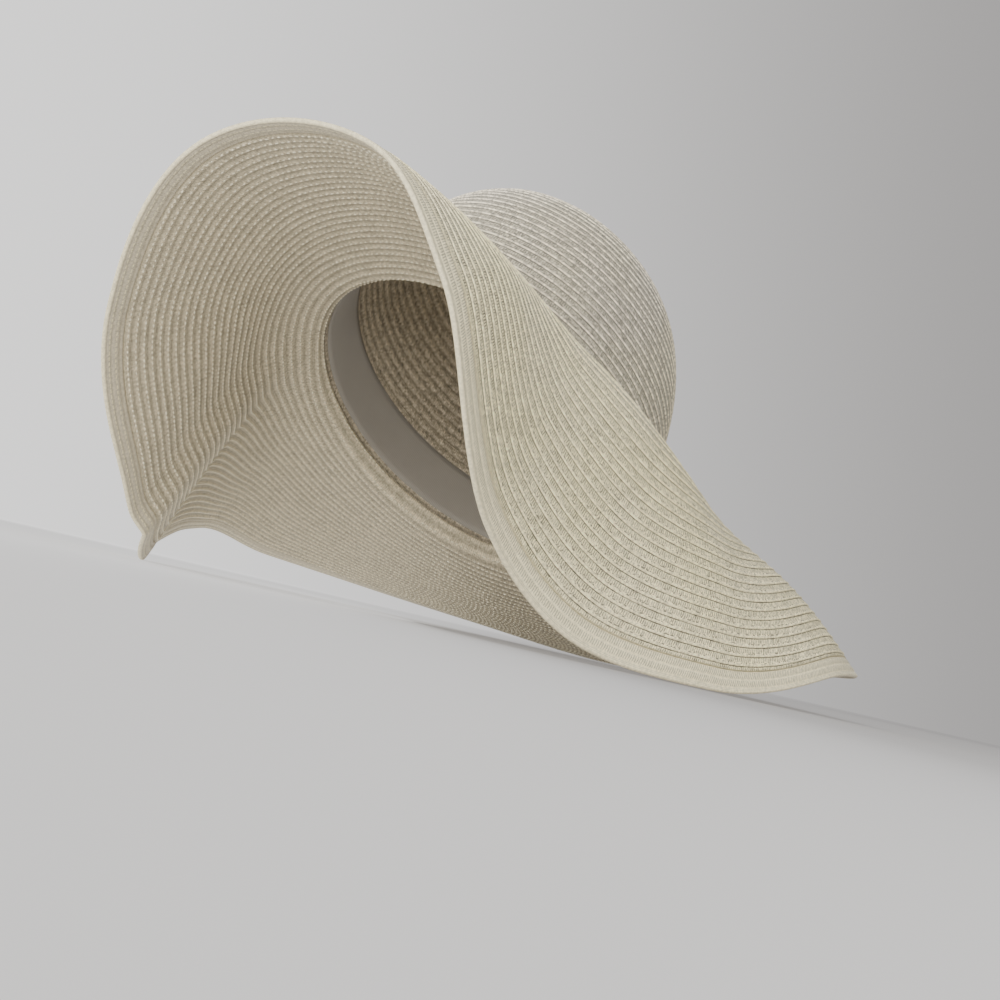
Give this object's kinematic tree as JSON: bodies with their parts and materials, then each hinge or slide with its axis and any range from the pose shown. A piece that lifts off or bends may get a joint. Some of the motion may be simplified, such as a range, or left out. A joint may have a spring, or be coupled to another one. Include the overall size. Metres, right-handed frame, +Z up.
{
  "type": "wide-brim sun hat",
  "caption": "Wide-brim sun hat of sewn straw braid with a rounded crown, a smooth hem band and a wavy brim folded down at the front and one side.",
  "frame": {"origin": "centre of the overall box at the surface that the hat rests on", "axes": "+Z up from the surface, -Y towards the front of the brim, +X towards the wearer's left"},
  "size_m": [0.3982, 0.4594, 0.2218],
  "materials": {
    "crown_braid": "matt ivory straw braid, sewn in overlapping rows",
    "brim_braid": "matt ivory straw braid, sewn in overlapping rows",
    "hem_band": "smooth matt ivory band, turned and stitched",
    "sweatband_cloth": "smooth taupe ribbed ribbon"
  },
  "bodies": {
    "root": {"crown": "crown_braid", "brim": "brim_braid", "hem": "hem_band", "sweatband": "sweatband_cloth"}
  },
  "joints": []
}
